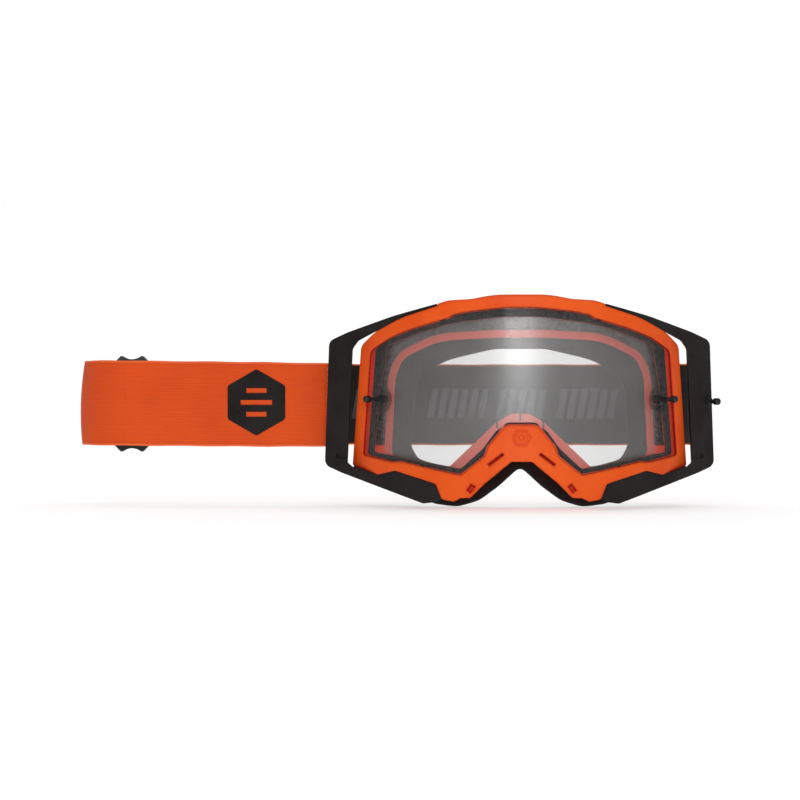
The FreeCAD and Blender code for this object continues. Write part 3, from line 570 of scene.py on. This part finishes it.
left_tail = [(-113.5, 21.15), (-107, 21.15), (-104, 21.4), (-101.8, 22.9), (-100, 24.9)]
left_bar = arc(-BAR_X, BAR_Y, LOOP_R, LOOP_R, 125, -90, 14)
front_run = [(-99.5, 20.35), (-103, 19.75), (-107, FRONT_RUN_Y), (-150, FRONT_RUN_Y)]
fold = arc(FOLD_X + FOLD_FRONT_R, FOLD_MID_Y, FOLD_FRONT_R, FOLD_MID_Y - FRONT_RUN_Y,
           -90, -180, 16)
fold += arc(FOLD_X + FOLD_REAR_R, FOLD_MID_Y, FOLD_REAR_R, REAR_RUN_Y - FOLD_MID_Y,
            172, 90, 10)
rear_run = [(-150, REAR_RUN_Y), (0, REAR_RUN_Y)]
turn_back = arc(BAR_X - RETURN_R, REAR_RUN_Y - RETURN_R, RETURN_R, RETURN_R, 90, 0, 14)
right_side = [(97.5, 40.0), (97.8, 37.0), (97.85, 33.0), (98.7, 28.5)]
right_bar = arc(BAR_X, BAR_Y, LOOP_R, LOOP_R, 20, -200, 14)
right_tail = [(95.2, 27.9), (96.1, 31.5), (96.2, 35), (96.2, 39.5)]
web_path = smooth_path(left_tail + left_bar + front_run + fold + rear_run + turn_back
                       + right_side + right_bar + right_tail, WEB_STEP)


def web_section():
    """Points across the webbing as (across, out, outer side), round and slightly thick at
    the selvedges."""
    half = STRAP_THICK / 2
    selvedge = ((0.0, 0.0), (0.08, 0.42), (0.4, 0.68), (0.9, 0.74), (1.4, 0.72), (1.7, 0.62),
                (2.0, 0.72), (2.5, half))
    shape = [(STRAP_HALF - inset, out) for inset, out in selvedge]
    shape += [(w, half) for w in (15.0, 10.0, 5.0, 0.0)]
    top = shape + [(-w, out) for w, out in reversed(shape[:-1])]
    under = [(w, -out) for w, out in reversed(top[1:-1])]
    return top + under


def climb(value, low, high):
    """0 up to low, 1 from high on, and a straight climb between them."""
    return min(1.0, max(0.0, (value - low) / (high - low)))


def ease(value, low, high):
    """As climb, but with soft ends."""
    part = climb(value, low, high)
    return part * part * (3.0 - 2.0 * part)


def in_front(p):
    """Whether a point of the path is on the front run or the front bend of the fold."""
    return p.x < 0.0 and p.y < FOLD_MID_Y


def web_rise(p):
    """How far the web climbs: the front run climbs to the fold, and the rear run stays in the
    middle of the adjuster's slots and of the right lugs."""
    if in_front(p):
        return FRONT_RISE + (FOLD_RISE - FRONT_RISE) * climb(-p.x, CLIMB_FROM, CLIMB_TO)
    level = MIDDLE_RISE + (EVEN_RISE - MIDDLE_RISE) * ease(abs(p.x), MIDDLE_TO, EVEN_FROM)
    return level + (FOLD_RISE - EVEN_RISE) * ease(-p.x, EVEN_TO, FOLD_FROM)


def web_wave(p):
    """Slack of the front run between the fold and the badge."""
    if p.y > FRONT_RUN_Y + 1 or p.x > SLACK_END or p.x < SLACK_START:
        return 0.0
    reach = (p.x - SLACK_START) / (SLACK_END - SLACK_START)
    return SLACK_DEEP * math.sin(math.pi * reach) ** 2 * math.sin(3.0 * math.pi * reach)


def web_widening(p):
    """Share by which the front run and the fold are wider than the ends."""
    if in_front(p):
        run = FRONT_WIDER * climb(-p.x, WIDEN_FROM, WIDEN_TO)
        near_fold = max(0.0, 1.0 - (p.x - FOLD_X) / FOLD_REACH)
        return run + (FOLD_WIDER - FRONT_WIDER) * near_fold
    return FOLD_WIDER * ease(-p.x, EVEN_TO, FOLD_FROM)


def build_web():
    """The whole strap as one band of webbing, swept along its path."""
    section = web_section()
    ring = len(section)
    outer_faces = ring // 2
    points, marks, faces, sides = [], [], [], []
    walked = 0.0
    for i, p in enumerate(web_path):
        before = web_path[max(i - 1, 0)]
        after = web_path[min(i + 1, len(web_path) - 1)]
        walked += (p - before).length
        along = (after - before).normalized()
        out = Vector((-along.y, along.x))
        near_fold = max(0.0, 1.0 - (p.x - FOLD_X) / BOW_LONG)
        for across, lift in section:
            reach = across / STRAP_HALF
            bow = near_fold * (-BOW_DEEP * reach ** 2 - BOW_LEAN * reach)
            bow += web_wave(p)
            height = across * (1.0 + web_widening(p))
            ripple = RIPPLE_HIGH * math.sin(walked * RIPPLE_TURN) * reach ** 3
            x = p.x + out.x * (lift + bow)
            y = p.y + out.y * (lift + bow)
            points.append((x, y, STRAP_MID_Z + web_rise(p) + height + ripple))
            marks.append((walked * MM, across * MM, lift * MM))
    for i in range(len(web_path) - 1):
        for k in range(ring):
            a, b = i * ring + k, i * ring + (k + 1) % ring
            faces.append((a, b, b + ring, a + ring))
            at_edge = min(k - outer_faces, ring - 1 - k) < 3
            sides.append(0 if k < outer_faces or at_edge else 1)
    last = (len(web_path) - 1) * ring
    faces += [tuple(reversed(range(ring))), tuple(range(last, last + ring))]
    sides += [0, 0]
    piece = add_mesh("strap_webbing", points, faces, (web_outer, web_inner), "goggles")
    piece.data.polygons.foreach_set("material_index", sides)
    web = piece.data.attributes.new("web", "FLOAT_VECTOR", "POINT")
    web.data.foreach_set("vector", [value for mark in marks for value in mark])
    smooth_shade(piece)
    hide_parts("strap_front_run", "strap_fold", "strap_rear_run", "strap_return",
                "strap_loop_left", "strap_loop_right")


build_web()


def stitch_rows(name, rows):
    """Short thread stitches standing in upright rows; each row is (x, y) of the face."""
    curve = bpy.data.curves.new(name, "CURVE")
    curve.dimensions = "3D"
    curve.bevel_depth = THREAD_R * MM
    curve.bevel_resolution = 2
    curve.use_fill_caps = True
    for x, y in rows:
        for k in range(STITCH_COUNT):
            z = STRAP_MID_Z + STITCH_FIRST + STITCH_PITCH * k
            spline = curve.splines.new("POLY")
            spline.points.add(2)
            shape = ((-STITCH_HALF, STITCH_SINK), (0.0, 0.0), (STITCH_HALF, STITCH_SINK))
            for point, (dz, sink) in zip(spline.points, shape):
                lift = -sink if y > BAR_Y else sink
                point.co = (x * MM, (y + lift) * MM, (z + dz) * MM, 1.0)
    curve.materials.append(thread)
    piece = bpy.data.objects.new(name, curve)
    scene.collection.objects.link(piece)
    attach(piece, "goggles")


stitch_rows("stitches_left", [(-103.2, 18.95), (-108.0, 21.9), (-104.6, 21.95)])
stitch_rows("stitches_right", [(98.6, 35.0), (98.6, 37.0), (95.4, 35.0), (95.4, 37.0)])


def grip_pattern():
    """Raised silicone bars on the inside of the rear run, in slanted groups."""
    y_web = REAR_RUN_Y - STRAP_THICK / 2
    points, faces = [], []
    starts = [first + GRIP_PITCH * k for first, count in GRIP_GROUPS for k in range(count)]
    for x in starts:
        base = len(points)
        for y in (y_web + 0.05, y_web - GRIP_PROUD):
            points += [(x, y, GRIP_LOW), (x + GRIP_WIDE, y, GRIP_LOW),
                       (x + GRIP_WIDE + GRIP_SLANT, y, GRIP_HIGH), (x + GRIP_SLANT, y, GRIP_HIGH)]
        faces += [tuple(base + k for k in quad) for quad in
                  ((0, 1, 2, 3), (7, 6, 5, 4), (0, 4, 5, 1), (1, 5, 6, 2), (2, 6, 7, 3),
                   (3, 7, 4, 0))]
    piece = add_mesh("silicone_grip", points, faces, (grip_silicone,), "goggles")
    bevel = piece.modifiers.new("rounded", "BEVEL")
    bevel.width = 0.4 * MM
    bevel.segments = 3
    bake_modifiers(piece)
    smooth_shade(piece)
    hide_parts("strap_grip")


grip_pattern()


# ---- stage, light, camera -----------------------------------------------------------------------
def pale_material(name, colour, glow):
    """Matt pale surface that also gives off a little white light."""
    material, tree, shader = new_material(name)
    shade = ramp(tree, noise(tree, place(tree), 90.0), tuple(c * 0.985 for c in colour), colour)
    tree.links.new(shade, shader.inputs["Base Color"])
    shader.inputs["Roughness"].default_value = 0.9
    shader.inputs["Specular IOR Level"].default_value = 0.1
    shader.inputs["Emission Color"].default_value = rgba(WHITE)
    shader.inputs["Emission Strength"].default_value = glow
    return material


def build_floor():
    """Pale sheet that runs back along the floor and sweeps up into a wall."""
    profile = [(FLOOR_NEAR_Y, 0.0), (SWEEP_Y, 0.0)]
    profile += [(SWEEP_Y + SWEEP_R * math.sin(t), SWEEP_R - SWEEP_R * math.cos(t))
                for t in (math.radians(9 * k) for k in range(1, 11))]
    profile.append((SWEEP_Y + SWEEP_R, WALL_TOP))
    mesh = bpy.data.meshes.new("floor")
    points = [(x, y, FLOOR_Z + z) for y, z in profile
              for x in (-FLOOR_HALF_WIDE, FLOOR_HALF_WIDE)]
    faces = [(2 * k, 2 * k + 1, 2 * k + 3, 2 * k + 2) for k in range(len(profile) - 1)]
    mesh.from_pydata(points, [], faces)
    mesh.materials.append(pale_material("pale_floor", FLOOR_GREY, FLOOR_GLOW))
    floor = bpy.data.objects.new("floor", mesh)
    scene.collection.objects.link(floor)
    smooth_shade(floor)


def softbox(name, place_at, aim, size, power):
    """Rectangular lamp at a place, turned towards its aim."""
    data = bpy.data.lights.new(name, "AREA")
    data.shape = "RECTANGLE"
    data.size, data.size_y = size
    data.energy = power
    lamp = bpy.data.objects.new(name, data)
    scene.collection.objects.link(lamp)
    lamp.location = place_at
    lamp.rotation_euler = (Vector(aim) - Vector(place_at)).to_track_quat("-Z", "Y").to_euler()


build_floor()
for row in SOFTBOXES:
    softbox(*row)

world = bpy.data.worlds.new("studio")
world.use_nodes = True
world.node_tree.nodes["Background"].inputs["Color"].default_value = rgba(WHITE)
world.node_tree.nodes["Background"].inputs["Strength"].default_value = WORLD_LIGHT
scene.world = world
scene.view_settings.view_transform = "Standard"

camera_data = bpy.data.cameras.new("camera")
camera_data.lens = CAMERA_LENS
camera_data.sensor_width = 36.0
camera_data.clip_start = 0.05
camera = bpy.data.objects.new("camera", camera_data)
scene.collection.objects.link(camera)
camera.location = CAMERA_PLACE
camera.rotation_euler = (math.radians(90.0), 0.0, math.radians(CAMERA_YAW))
scene.camera = camera
